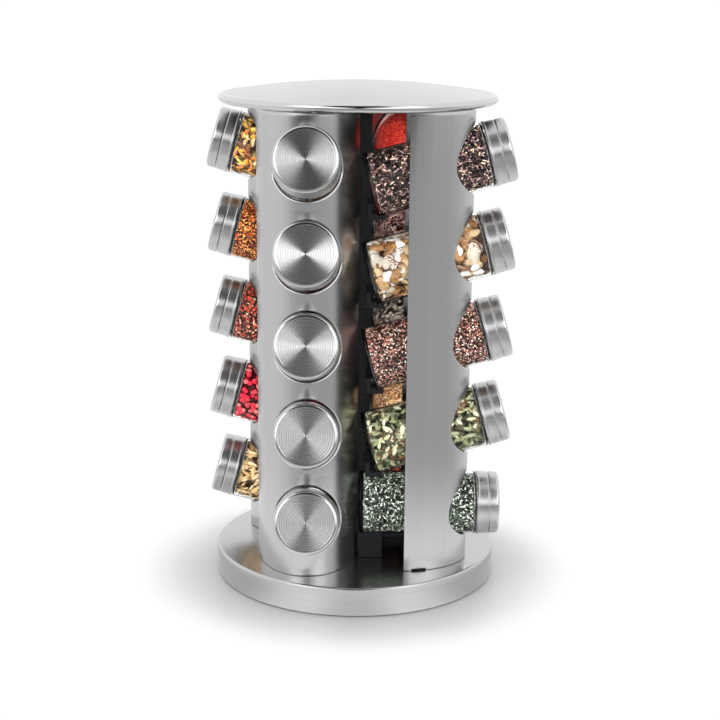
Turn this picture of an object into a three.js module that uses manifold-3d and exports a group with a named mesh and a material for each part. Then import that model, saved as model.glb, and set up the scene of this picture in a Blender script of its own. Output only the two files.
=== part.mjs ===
// Revolving spice carousel: four curved steel panels set in a pinwheel round a plastic inner frame,
// each holding five tilted glass jars, on a drum base that turns on a ball bearing.
// Millimetres, +Z up. The origin is on the turning axis at the level of the table.
// The front faces -Y. Each column of jars is built facing front and turned about Z by quarter turns.
import * as THREE from "three";
import { mergeVertices } from "three/addons/utils/BufferGeometryUtils.js";
import Module from "manifold-3d";

const wasm = await Module();
wasm.setup();

// ---------------------------------------------------------------- driving dimensions
const GAP = 0.3; // between pieces that touch on the real object
const CLEARANCE = 0.4; // round a rod or stem in its hole, and under a lid's open end
const COLUMNS = ["front", "right", "back", "left"];
const ROWS = 5;
const ROW_PITCH = 61.8;
const TOP_ROW_Z = 310.2; // centre of the highest hole, on the panel's crest
const TILT = THREE.MathUtils.degToRad(15); // each jar's lid end points up by this much

// One jar, the lowest on the right, lies level on a taller rest of its own
const LEVEL_JAR = { side: "right", row: ROWS - 1, axisZ: 61.2, proud: 22.3 };

// Curved panels: half an ellipse in plan, with its centre line beside the turning axis
const PANEL_OFFSET = 34.5;
const PANEL_HALF_WIDTH = 36;
const PANEL_HALF_DEPTH = 54;
const PANEL_CREST = 80; // from the turning axis to the panel's crest
const PANEL_EDGE = 34; // from the turning axis to the panel's two upright edges
const PANEL_SHEET = 1;
const PANEL_HOLE_R = 23.6;
const PANEL_HOLE_INWARDS = 40; // how far the holes' cutting cylinders reach from the crest
const PANEL_HOLE_OUTWARDS = 12;
const PANEL_NOTCH = { from: 37.8, to: 50.8, height: 1.5, depth: 8 }; // in the lower edge, on the outer side

// Jars and lids
const JAR_R = 22.5;
const JAR_HEEL = 3; // bevel round the jar's bottom
const JAR_LENGTH = 100; // over the lid
const JAR_PROUD = 25.5; // from the panel's crest to the lid's face, along the jar
const JAR_SHOULDER = 2.3; // height of the slope between the body and the neck
const JAR_MOUTH = 2.3; // from the lid's face down to the neck's top
const NECK_R = 19.2;
const LID_FACE_R = 22;
const LID_OPEN_R = 22.9; // the lid widens a little towards its open end
const LID_HEIGHT = 16;
const LID_CROWN = 1.8; // thickness of the lid's end
const LID_EDGE = 0.8; // bevel round the lid's face
const LID_BORE_R = 19.8;

// Base drum, turntable and feet
const BASE_R = 102.3;
const BASE_TOP_Z = 21.2;
const BASE_RIM_Z = 1;
const BASE_SHEET = 1;
const TURNTABLE_R = 86;
const TURNTABLE_TOP_R = 82;
const BALL_R = 3.5;
const BALL_RING_R = 50;
const BALL_Z = 13.4;
const BALLS = 12;
const CAGE_HALF = { width: 7, thickness: 1 }; // the flat ring that holds the balls
const FOOT_RING_R = 72;
const FOOT_R = 9;
const FOOT_EDGE = 1; // bevel round a foot's underside
const FOOT_THICKNESS = 3.7;
const FOOT_STEM = { r: 3, height: 4 };
const HUB_R = 16; // the hole in the middle of the lower plate

// Top
const TOWER_TOP_Z = 344;
const TOP_PLATE_R = 86;
const TOP_PLATE_THICKNESS = 2.7;
const COVER_R = 98.3;
const COVER_APEX_Z = 359;
const COVER_RIM_Z = 348.2; // middle of the rolled rim
const COVER_RIM_R = 3;
const COVER_SHEET = 1;

// Tie rod through the whole tower
const ROD_R = 3;
const ROD_TOP_Z = 353;
const ROD_BOTTOM_Z = 9.9;
const ROD_HOLE_R = ROD_R + CLEARANCE;

// Facets of round pieces
const FINE = 40;
const MEDIUM = 28;
const SMALL = 16;
const HOLE_FACETS = 20;
const STEM_HOLE_FACETS = 10;
const BALL_FACETS = { round: 8, high: 4 };

// ---------------------------------------------------------------- materials
function finish(color, roughness, metalness) {
  return new THREE.MeshStandardMaterial({ color, roughness, metalness });
}

const STEEL = finish(0xb9bbbe, 0.32, 1);
const LID_STEEL = finish(0xc4c6c8, 0.28, 1);
const BLACK_PLASTIC = finish(0x141416, 0.45, 0);
const GREY_PLASTIC = finish(0x6d7074, 0.55, 0);
const ZINC = finish(0x9ea3a8, 0.4, 1);
const RUBBER = finish(0x1c1c1e, 0.9, 0);
const FILLED_GLASS = finish(0x8a5a34, 0.15, 0);

// ---------------------------------------------------------------- shape helpers
// A profile of [radius, height] points, turned about Z.
function turned(profile, facets) {
  const points = profile.map(([r, z]) => new THREE.Vector2(r, z));
  return new THREE.LatheGeometry(points, facets).rotateX(Math.PI / 2);
}

// A flat outline of [x, y] points, raised from z0 to z1.
function raised(outline, z0, z1, holes = []) {
  const shape = new THREE.Shape(outline.map(([x, y]) => new THREE.Vector2(x, y)));
  for (const hole of holes) shape.holes.push(hole);
  return new THREE.ExtrudeGeometry(shape, { depth: z1 - z0, bevelEnabled: false }).translate(0, 0, z0);
}

function box(x0, x1, y0, y1, z0, z1) {
  const shape = new THREE.BoxGeometry(x1 - x0, y1 - y0, z1 - z0);
  return shape.translate((x0 + x1) / 2, (y0 + y1) / 2, (z0 + z1) / 2);
}

function roundHole(r, facets) {
  return new THREE.Path().absarc(0, 0, r, 0, 2 * Math.PI, true).getPoints(facets);
}

function ring(outerR, innerR, z0, z1, facets) {
  return turned([[innerR, z0], [outerR, z0], [outerR, z1], [innerR, z1], [innerR, z0]], facets);
}

function toSolid(geometry) {
  const bare = geometry.clone();
  bare.deleteAttribute("normal");
  bare.deleteAttribute("uv");
  const merged = mergeVertices(bare, 1e-4);
  return new wasm.Manifold(
    new wasm.Mesh({
      numProp: 3,
      vertProperties: merged.attributes.position.array,
      triVerts: new Uint32Array(merged.index.array),
    }),
  );
}

function toGeometry(solid) {
  const { vertProperties, triVerts } = solid.getMesh();
  const geometry = new THREE.BufferGeometry();
  geometry.setAttribute("position", new THREE.BufferAttribute(vertProperties, 3));
  geometry.setIndex(new THREE.BufferAttribute(triVerts, 1));
  geometry.computeVertexNormals();
  return geometry;
}

const join = (first, ...rest) => rest.reduce((solid, piece) => solid.add(toSolid(piece)), first);
const cut = (first, ...rest) => rest.reduce((solid, piece) => solid.subtract(toSolid(piece)), first);

function mesh(name, geometry, material) {
  const made = new THREE.Mesh(geometry, material);
  made.name = name;
  return made;
}

// Points on an arc, angles in degrees from +radius towards +height.
function arc(centreR, centreZ, r, from, to, steps) {
  return Array.from({ length: steps + 1 }, (_, i) => {
    const angle = THREE.MathUtils.degToRad(from + ((to - from) * i) / steps);
    return [centreR + r * Math.cos(angle), centreZ + r * Math.sin(angle)];
  });
}

const rowZ = (row) => TOP_ROW_Z - row * ROW_PITCH;

// How a jar lies: the height of its axis at the crest, its tilt, and how far its lid stands out.
function seatOf(side, row) {
  if (side === LEVEL_JAR.side && row === LEVEL_JAR.row) {
    return { z: LEVEL_JAR.axisZ, tilt: 0, proud: LEVEL_JAR.proud };
  }
  return { z: rowZ(row), tilt: TILT, proud: JAR_PROUD };
}

// A cylinder on a front jar's axis, reaching from one place along it to another, both measured
// outwards from the panel's crest.
function alongJar(seat, radius, from, to, facets) {
  const middle = (from + to) / 2;
  return new THREE.CylinderGeometry(radius, radius, to - from, facets)
    .rotateX(Math.PI - seat.tilt)
    .translate(
      -PANEL_OFFSET,
      -(PANEL_CREST + middle * Math.cos(seat.tilt)),
      seat.z + middle * Math.sin(seat.tilt),
    );
}

// ---------------------------------------------------------------- one column
// The sheet's plan: an elliptical arc between its two upright edges, and the same arc one sheet inside.
function panelOutline() {
  const centre = PANEL_CREST - PANEL_HALF_DEPTH;
  const steps = 12;
  const curve = (inset) => {
    const halfDepth = PANEL_HALF_DEPTH - inset;
    const end = Math.acos((PANEL_EDGE - centre) / halfDepth);
    return Array.from({ length: steps + 1 }, (_, i) => {
      const angle = -end + (2 * end * i) / steps;
      const across = (PANEL_HALF_WIDTH - inset) * Math.sin(angle);
      return [-PANEL_OFFSET + across, -(centre + halfDepth * Math.cos(angle))];
    });
  };
  return [...curve(0), ...curve(PANEL_SHEET).reverse()];
}

function panel() {
  const sheet = toSolid(raised(panelOutline(), BASE_TOP_Z + GAP, TOWER_TOP_Z));
  const holes = Array.from({ length: ROWS }, (_, row) => {
    const seat = { z: rowZ(row), tilt: TILT };
    return alongJar(seat, PANEL_HOLE_R, -PANEL_HOLE_INWARDS, PANEL_HOLE_OUTWARDS, HOLE_FACETS);
  });
  const outer = -PANEL_OFFSET - PANEL_HALF_WIDTH;
  const notch = box(
    outer - 1,
    outer + PANEL_NOTCH.depth,
    -PANEL_NOTCH.to,
    -PANEL_NOTCH.from,
    BASE_TOP_Z - 1,
    BASE_TOP_Z + GAP + PANEL_NOTCH.height,
  );
  return toGeometry(cut(sheet, ...holes, notch));
}

// A quarter of the inner frame. It has a quarter of the square post round the tie rod, a rail at the
// top and one at the bottom that the neighbouring panel's edge lies on, and an arm with a rest for the
// inner end of each of this column's jars.
const POST_HALF = 10;
const POST_BORE_R = ROD_R + 0.6;
const RAIL_HALF = 1.5;
const RAIL_END = 33.5;
const RAIL_LIP = { end: 38, inner: 1, outer: 2.4 }; // inside the neighbouring panel's leg
const TOP_RAIL_HEIGHT = 6.5;
const BOTTOM_RAIL_HEIGHT = 14;
const MERGE = 0.5; // how far joined shapes run into each other

function frameQuarter(side) {
  const half = GAP / 2;
  const bore = [
    [-half, -POST_HALF],
    [-half, -POST_BORE_R],
    [-POST_BORE_R * Math.SQRT1_2, -POST_BORE_R * Math.SQRT1_2],
    [-POST_BORE_R, -half],
  ];
  const postOutline = [...bore, [-POST_HALF, -half], [-POST_HALF, -POST_HALF]];
  const railOutline = [
    ...bore,
    [-POST_HALF - GAP, -half],
    [-POST_HALF - GAP, RAIL_HALF],
    [-RAIL_END, RAIL_LIP.outer],
    [-RAIL_LIP.end, RAIL_LIP.outer],
    [-RAIL_LIP.end, RAIL_LIP.inner],
    [-RAIL_END, RAIL_LIP.inner - GAP],
    [-RAIL_END, -RAIL_HALF],
    [-POST_HALF, -RAIL_HALF],
    [-POST_HALF, -POST_HALF],
  ];
  const foot = BASE_TOP_Z + GAP;
  const seats = Array.from({ length: ROWS }, (_, row) => seatOf(side, row));
  const whole = join(
    toSolid(raised(postOutline.reverse(), foot, TOWER_TOP_Z)),
    raised(railOutline.reverse(), foot, foot + BOTTOM_RAIL_HEIGHT),
    raised(railOutline, TOWER_TOP_Z - TOP_RAIL_HEIGHT, TOWER_TOP_Z),
    ...seats.flatMap((seat) => (seat.tilt === 0 ? levelRest(seat) : armAndRest(seat))),
  );
  const jarSpaces = seats.map((seat) => {
    const bottom = seat.proud - JAR_LENGTH;
    return alongJar(seat, JAR_R + REST_SLACK, bottom - GAP, bottom + JAR_SPACE_LENGTH, MEDIUM);
  });
  return toGeometry(cut(whole, ...jarSpaces));
}

const REST_HALF_WIDTH = 8;
const REST_REACH = 19; // from the turning axis
const REST_FLOOR = 1.4;
const REST_SIDE = 2.6; // above the jar's lowest line
const REST_SLACK = 0.3; // round the jar
const ARM = { from: 6.6, to: 9.6, height: 11 }; // from the turning axis, and its height
const STOP_HEIGHT = 6; // above the rest, behind a level jar
const STOP_HALF = 1; // half the stop's thickness
const JAR_SPACE_LENGTH = 40;

// The lowest line of the jar's inner end.
function lowestLine(seat) {
  const bottom = seat.proud - JAR_LENGTH;
  return seat.z + bottom * Math.sin(seat.tilt) - JAR_R * Math.cos(seat.tilt);
}

// A tilted jar's rest, on an arm from the post. The jar's bottom comes up against the arm's root.
function armAndRest(seat) {
  const left = -PANEL_OFFSET - REST_HALF_WIDTH;
  const right = -PANEL_OFFSET + REST_HALF_WIDTH;
  const lowest = lowestLine(seat);
  const z0 = Math.max(lowest - REST_FLOOR, BASE_TOP_Z + GAP);
  return [
    box(left, right, -REST_REACH, MERGE - ARM.to, z0, lowest + REST_SIDE),
    box(left, MERGE - POST_HALF, -ARM.to, -ARM.from, z0, z0 + ARM.height),
  ];
}

// A level jar's rest stands on the base, and has a stop behind the jar.
function levelRest(seat) {
  const left = -PANEL_OFFSET - REST_HALF_WIDTH;
  const right = -PANEL_OFFSET + REST_HALF_WIDTH;
  const z0 = BASE_TOP_Z + GAP;
  const z1 = lowestLine(seat) + REST_SIDE;
  return [
    box(left, right, -REST_REACH, -RAIL_HALF - 2 * GAP, z0, z1),
    box(MERGE - RAIL_END, right, -RAIL_HALF - STOP_HALF, -RAIL_HALF + STOP_HALF, z0, z1 + STOP_HEIGHT),
  ];
}

// Glass with its contents, standing on its bottom with the neck up.
function jar() {
  const neckTop = JAR_LENGTH - JAR_MOUTH;
  const shoulder = JAR_LENGTH - LID_HEIGHT - CLEARANCE;
  const profile = [
    [0, 0],
    [JAR_R - JAR_HEEL, 0],
    [JAR_R, JAR_HEEL],
    [JAR_R, shoulder - JAR_SHOULDER],
    [NECK_R, shoulder],
    [NECK_R, neckTop],
    [0, neckTop],
  ];
  return turned(profile, SMALL);
}

// A screw lid as a turned steel cup, in the jar's own frame.
function lid() {
  const skirt = JAR_LENGTH - LID_HEIGHT;
  const profile = [
    [0, JAR_LENGTH - LID_CROWN],
    [LID_BORE_R, JAR_LENGTH - LID_CROWN],
    [LID_BORE_R, skirt],
    [LID_OPEN_R, skirt],
    [LID_FACE_R, JAR_LENGTH - LID_EDGE],
    [LID_FACE_R - LID_EDGE, JAR_LENGTH],
    [0, JAR_LENGTH],
  ];
  return turned(profile, SMALL);
}

function placeOnAxis(made, seat) {
  const bottom = seat.proud - JAR_LENGTH;
  made.position.set(
    -PANEL_OFFSET,
    -(PANEL_CREST + bottom * Math.cos(seat.tilt)),
    seat.z + bottom * Math.sin(seat.tilt),
  );
  made.rotation.x = Math.PI / 2 - seat.tilt;
  return made;
}

const shared = { panel: panel(), jar: jar(), lid: lid() };

function column(side, quarterTurns) {
  const group = new THREE.Group();
  group.add(mesh(`${side}_panel`, shared.panel, STEEL));
  group.add(mesh(`${side}_frame_quarter`, frameQuarter(side), BLACK_PLASTIC));
  for (let row = 0; row < ROWS; row++) {
    const seat = seatOf(side, row);
    group.add(placeOnAxis(mesh(`${side}_jar_${row + 1}`, shared.jar, FILLED_GLASS), seat));
    group.add(placeOnAxis(mesh(`${side}_lid_${row + 1}`, shared.lid, LID_STEEL), seat));
  }
  group.rotation.z = (quarterTurns * Math.PI) / 2;
  return group;
}

// ---------------------------------------------------------------- base and turntable
function baseCover() {
  const under = BASE_TOP_Z - BASE_SHEET;
  const inner = BASE_R - BASE_SHEET;
  const edge = 1.8; // radius of the upper edge
  return turned(
    [
      [ROD_HOLE_R, under],
      [inner - edge, under],
      [inner, under - edge],
      [inner, BASE_RIM_Z],
      [BASE_R, BASE_RIM_Z],
      ...arc(BASE_R - edge, BASE_TOP_Z - edge, edge, 0, 90, 3),
      [ROD_HOLE_R, BASE_TOP_Z],
      [ROD_HOLE_R, under],
    ],
    FINE,
  );
}

// The two race plates have a shallow groove that the balls run in.
const RACE_HALF = 4.2;
const RACE_DEPTH = 1;
const RACE_SHOULDER = 6; // flat outside the lower groove, before the plate thins
const PLATE_EDGE = 4; // the lower plate's thickness at its rim

function turntableTop() {
  const top = BASE_TOP_Z - BASE_SHEET - GAP;
  const groove = BALL_Z + BALL_R + GAP;
  const under = groove - RACE_DEPTH;
  return turned(
    [
      [ROD_HOLE_R, under],
      [BALL_RING_R - RACE_HALF, under],
      [BALL_RING_R - RACE_HALF + RACE_DEPTH, groove],
      [BALL_RING_R + RACE_HALF - RACE_DEPTH, groove],
      [BALL_RING_R + RACE_HALF, under],
      [TURNTABLE_TOP_R, under],
      [TURNTABLE_TOP_R, top],
      [ROD_HOLE_R, top],
      [ROD_HOLE_R, under],
    ],
    MEDIUM,
  );
}

const footPlaces = Array.from({ length: 4 }, (_, i) => {
  const angle = ((2 * i + 1) * Math.PI) / 4;
  return [FOOT_RING_R * Math.cos(angle), FOOT_RING_R * Math.sin(angle)];
});

function turntableBottom() {
  const under = FOOT_THICKNESS + GAP;
  const groove = BALL_Z - BALL_R - GAP;
  const top = groove + RACE_DEPTH;
  const plate = turned(
    [
      [HUB_R, under],
      [TURNTABLE_R, under],
      [TURNTABLE_R, under + PLATE_EDGE],
      [BALL_RING_R + RACE_HALF + RACE_SHOULDER, top],
      [BALL_RING_R + RACE_HALF, top],
      [BALL_RING_R + RACE_HALF - RACE_DEPTH, groove],
      [BALL_RING_R - RACE_HALF + RACE_DEPTH, groove],
      [BALL_RING_R - RACE_HALF, top],
      [HUB_R, top],
      [HUB_R, under],
    ],
    MEDIUM,
  );
  const holeR = FOOT_STEM.r + CLEARANCE;
  const stemHoles = footPlaces.map(([x, y]) => {
    const hole = new THREE.CylinderGeometry(holeR, holeR, BASE_TOP_Z, STEM_HOLE_FACETS);
    return hole.rotateX(Math.PI / 2).translate(x, y, BASE_TOP_Z / 2);
  });
  return toGeometry(cut(toSolid(plate), ...stemHoles));
}

function ballCage() {
  const { width, thickness } = CAGE_HALF;
  const flat = ring(BALL_RING_R + width, BALL_RING_R - width, BALL_Z - thickness, BALL_Z + thickness, MEDIUM);
  const balls = Array.from({ length: BALLS }, (_, i) => {
    const angle = (2 * Math.PI * i) / BALLS;
    return new THREE.SphereGeometry(BALL_R, BALL_FACETS.round, BALL_FACETS.high)
      .rotateX(Math.PI / 2)
      .translate(BALL_RING_R * Math.cos(angle), BALL_RING_R * Math.sin(angle), BALL_Z);
  });
  return toGeometry(join(toSolid(flat), ...balls));
}

function foot([x, y]) {
  const profile = [
    [0, 0],
    [FOOT_R - FOOT_EDGE, 0],
    [FOOT_R, FOOT_EDGE],
    [FOOT_R, FOOT_THICKNESS],
    [FOOT_STEM.r, FOOT_THICKNESS],
    [FOOT_STEM.r, FOOT_THICKNESS + FOOT_STEM.height],
    [0, FOOT_THICKNESS + FOOT_STEM.height],
  ];
  return turned(profile, SMALL).translate(x, y, 0);
}

// ---------------------------------------------------------------- top, rod and nut
function topPlate() {
  return ring(TOP_PLATE_R, ROD_HOLE_R, TOWER_TOP_Z + GAP, TOWER_TOP_Z + GAP + TOP_PLATE_THICKNESS, MEDIUM);
}

// A shallow dome of sheet with a rolled rim, and a boss inside that takes the rod's upper end.
function topCover() {
  const rimCentreR = COVER_R - COVER_RIM_R;
  const rimTopZ = COVER_RIM_Z + COVER_RIM_R;
  const domeEdgeR = rimCentreR - 1; // the dome runs into the rolled rim here
  const steps = 4;
  const rise = COVER_APEX_Z - rimTopZ;
  const dome = (below) =>
    Array.from({ length: steps }, (_, i) => {
      const r = (domeEdgeR * i) / steps;
      return [r, COVER_APEX_Z - rise * (r / domeEdgeR) ** 2 - below];
    });
  const bossR = 8;
  const bossBottom = TOWER_TOP_Z + 2 * GAP + TOP_PLATE_THICKNESS;
  const underside = dome(COVER_SHEET).filter(([r]) => r > bossR);
  return turned(
    [
      [0, ROD_TOP_Z + GAP],
      [ROD_HOLE_R, ROD_TOP_Z + GAP],
      [ROD_HOLE_R, bossBottom],
      [bossR, bossBottom],
      [bossR, COVER_APEX_Z - COVER_SHEET - 0.1],
      ...underside,
      [rimCentreR - 1.5, rimTopZ - COVER_SHEET - 0.6], // down the inside of the roll
      [rimCentreR - 2, COVER_RIM_Z - 1],
      ...arc(rimCentreR, COVER_RIM_Z, COVER_RIM_R, -110, 90, 5),
      ...dome(0).reverse(),
    ],
    FINE,
  );
}

function tieRod() {
  return turned([[0, ROD_BOTTOM_Z], [ROD_R, ROD_BOTTOM_Z], [ROD_R, ROD_TOP_Z], [0, ROD_TOP_Z]], SMALL);
}

const NUT_HEIGHT = 5;
const NUT_R = 5.8; // over its corners

function rodNut() {
  const under = BALL_Z + BALL_R - RACE_DEPTH; // a gap below the turntable's upper plate
  const corners = Array.from({ length: 6 }, (_, i) => {
    const angle = (i * Math.PI) / 3;
    return [NUT_R * Math.cos(angle), NUT_R * Math.sin(angle)];
  });
  return raised(corners, under - NUT_HEIGHT, under, [new THREE.Path(roundHole(ROD_HOLE_R, SMALL))]);
}

// ---------------------------------------------------------------- the whole carousel
const carousel = new THREE.Group();
COLUMNS.forEach((side, quarterTurns) => carousel.add(column(side, quarterTurns)));
carousel.add(mesh("top_cover", topCover(), STEEL));
carousel.add(mesh("top_plate", topPlate(), BLACK_PLASTIC));
carousel.add(mesh("base_cover", baseCover(), STEEL));
carousel.add(mesh("tie_rod", tieRod(), ZINC));
carousel.add(mesh("tie_rod_nut", rodNut(), ZINC));
carousel.add(mesh("turntable_top", turntableTop(), GREY_PLASTIC));
carousel.add(mesh("ball_cage", ballCage(), ZINC));
carousel.add(mesh("turntable_bottom", turntableBottom(), GREY_PLASTIC));
footPlaces.forEach((place, i) => carousel.add(mesh(`foot_${i + 1}`, foot(place), RUBBER)));

export default carousel;
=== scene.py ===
import math

import bmesh
import bpy
import numpy as np
from mathutils import Matrix, Vector


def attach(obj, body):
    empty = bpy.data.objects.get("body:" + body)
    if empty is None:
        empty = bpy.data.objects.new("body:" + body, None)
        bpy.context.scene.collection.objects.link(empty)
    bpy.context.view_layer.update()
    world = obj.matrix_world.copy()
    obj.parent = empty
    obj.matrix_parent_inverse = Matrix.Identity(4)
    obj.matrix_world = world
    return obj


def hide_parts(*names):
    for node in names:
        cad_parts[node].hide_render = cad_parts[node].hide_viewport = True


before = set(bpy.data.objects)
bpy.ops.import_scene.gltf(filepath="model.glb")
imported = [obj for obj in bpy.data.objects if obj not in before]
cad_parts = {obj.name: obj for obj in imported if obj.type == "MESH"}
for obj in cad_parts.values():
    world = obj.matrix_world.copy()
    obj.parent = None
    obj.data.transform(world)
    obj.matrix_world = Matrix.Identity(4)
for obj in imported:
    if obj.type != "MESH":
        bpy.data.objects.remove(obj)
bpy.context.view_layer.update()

# ---------- driving dimensions, in millimetres
MM = 0.001
SIDES = ["front", "right", "back", "left"]
ROWS = 5
ROW_PITCH = 61.8
TOP_ROW_Z = 310.2
TILT = math.radians(15)
LEVEL_JAR = {"side": "right", "row": 4, "z": 61.2, "proud": 22.3}

PANEL_OFFSET = 34.5
PANEL_HALF_WIDTH = 36.0
PANEL_HALF_DEPTH = 54.0
PANEL_CREST = 80.0
PANEL_EDGE = 34.0
PANEL_SHEET = 0.8
HOLE_R = 24.7  # where the flat sheet starts to turn into the hole's lip
LIP_R = 1.0
LIP_DEPTH = 2.2
LIP_ARC = [90, 72, 54, 36, 18]  # degrees round the lip, from its inner edge to the flat sheet
NOTCH_HEIGHT = 1.5  # of the notch in the panel's foot

JAR_R = 22.5
JAR_LENGTH = 100.0
JAR_PROUD = 25.5
GLASS = 0.8
SPICE_R = JAR_R - GLASS - 0.1
SPICE_Z = (2.7, 82.3)  # the contents' bottom and top
FLOOR_Z = 2.5  # the top of the glass at the jar's bottom
NECK_R = 19.2
BEADS_Z = (88.9, 93.7)  # the thread's two beads
BEAD = 0.7  # half a bead's height
SHOULDER_Z = 83.6
MOUTH_Z = 97.7
SIFTER_HOLES = 8
SIFTER_HOLES_R = 9.0  # the circle that the holes lie on
LID_R = 22.0
LID_OPEN_R = 22.9
LID_HEIGHT = 16.0
LID_TAPER = 0.035  # how much wider the lid gets for each millimetre down
LID_EDGE_R = LID_R - 2.3  # the lid's flat face ends here, and its rounded edge starts
RING_PITCH = 1.6  # between the rings turned on a lid's face
RING_SHADE = 0.76  # painted shade in a deep ring: its colour's brightness, as a share of the face's

BASE_R = 102.3
BASE_TOP_Z = 21.2
TOWER_TOP_Z = 344.0
COVER_R = 98.3
COVER_APEX_Z = 359.0
COVER_RIM_Z = 348.2
COVER_RIM_R = 3.0
COVER_SHEET = 0.8  # of the top's cover and the base's
BOSS_R = 8.0  # under the dome's middle, where the nut sits
ROD_HOLE_R = 3.4

ROUND = 96  # facets of a jar or a lid
LARGE_ROUND = 192  # facets of the base and the top
SMALL_ROUND = 64  # facets of the shaker insert and the lid's liner


# ---------- mesh helpers
def new_object(name, data):
    """An object in the scene with this mesh, lamp or camera."""
    made = bpy.data.objects.new(name, data)
    bpy.context.scene.collection.objects.link(made)
    return made


def build(name, points, faces, materials, sharp, face_material=None):
    """A mesh object from points in millimetres. Edges stay hard where they turn by more than sharp
    degrees."""
    mesh = bpy.data.meshes.new(name)
    mesh.from_pydata((np.asarray(points, float) * MM).tolist(), [], [list(f) for f in faces])
    for material in materials:
        mesh.materials.append(material)
    if face_material is not None:
        mesh.polygons.foreach_set("material_index", face_material)
    made = new_object(name, mesh)
    work = bmesh.new()
    work.from_mesh(mesh)
    bmesh.ops.recalc_face_normals(work, faces=work.faces)
    work.to_mesh(mesh)
    work.free()
    mesh.shade_smooth()
    mesh.set_sharp_from_angle(angle=math.radians(sharp))
    return made


def arc(centre, r, start, end, steps):
    """Points on an arc in the profile's plane, angles in degrees."""
    angles = np.radians(np.linspace(start, end, steps + 1))
    return [(centre[0] + r * math.cos(a), centre[1] + r * math.sin(a)) for a in angles]


def rounded(profile, steps=5):
    """A profile of (r, z) corners, or (r, z, fillet) where a corner is rounded off."""
    out = []
    last = len(profile) - 1
    for i, corner in enumerate(profile):
        here = np.array(corner[:2], float)
        fillet = corner[2] if len(corner) > 2 else 0
        if not fillet or i in (0, last):
            out.append(tuple(here))
            continue
        before = np.array(profile[i - 1][:2], float) - here
        after = np.array(profile[i + 1][:2], float) - here
        before /= np.linalg.norm(before)
        after /= np.linalg.norm(after)
        half = math.acos(np.clip(before @ after, -1, 1)) / 2
        reach = fillet / math.tan(half)
        centre = here + (before + after) / np.linalg.norm(before + after) * fillet / math.sin(half)
        first = here + before * reach - centre
        second = here + after * reach - centre
        for t in np.linspace(0, 1, steps + 1):
            ray = first * (1 - t) + second * t
            out.append(tuple(centre + ray / np.linalg.norm(ray) * fillet))
    return out


def turned(name, profile, materials, facets, sharp=30):
    """A body turned about Z from a profile that starts and ends on the axis, or closes on itself."""
    closed = np.allclose(profile[0], profile[-1])
    rows = profile[:-1] if closed else profile
    points, rings = [], []
    angles = np.linspace(0, 2 * math.pi, facets, endpoint=False)
    for r, z in rows:
        first = len(points)
        if r < 1e-6:
            points.append((0, 0, z))
            rings.append([first] * facets)
        else:
            points += [(r * math.cos(a), r * math.sin(a), z) for a in angles]
            rings.append(list(range(first, first + facets)))
    following = rings[1:] + (rings[:1] if closed else [])
    faces = []
    for lower, upper in zip(rings, following):
        for i in range(facets):
            j = (i + 1) % facets
            faces.append(list(dict.fromkeys([lower[i], lower[j], upper[j], upper[i]])))
    return build(name, points, faces, materials, sharp)


def applied(made):
    """The object with its modifiers baked into its mesh."""
    bpy.context.view_layer.update()
    evaluated = made.evaluated_get(bpy.context.evaluated_depsgraph_get())
    mesh = bpy.data.meshes.new_from_object(evaluated)
    made.modifiers.clear()
    made.data = mesh
    return made


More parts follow.
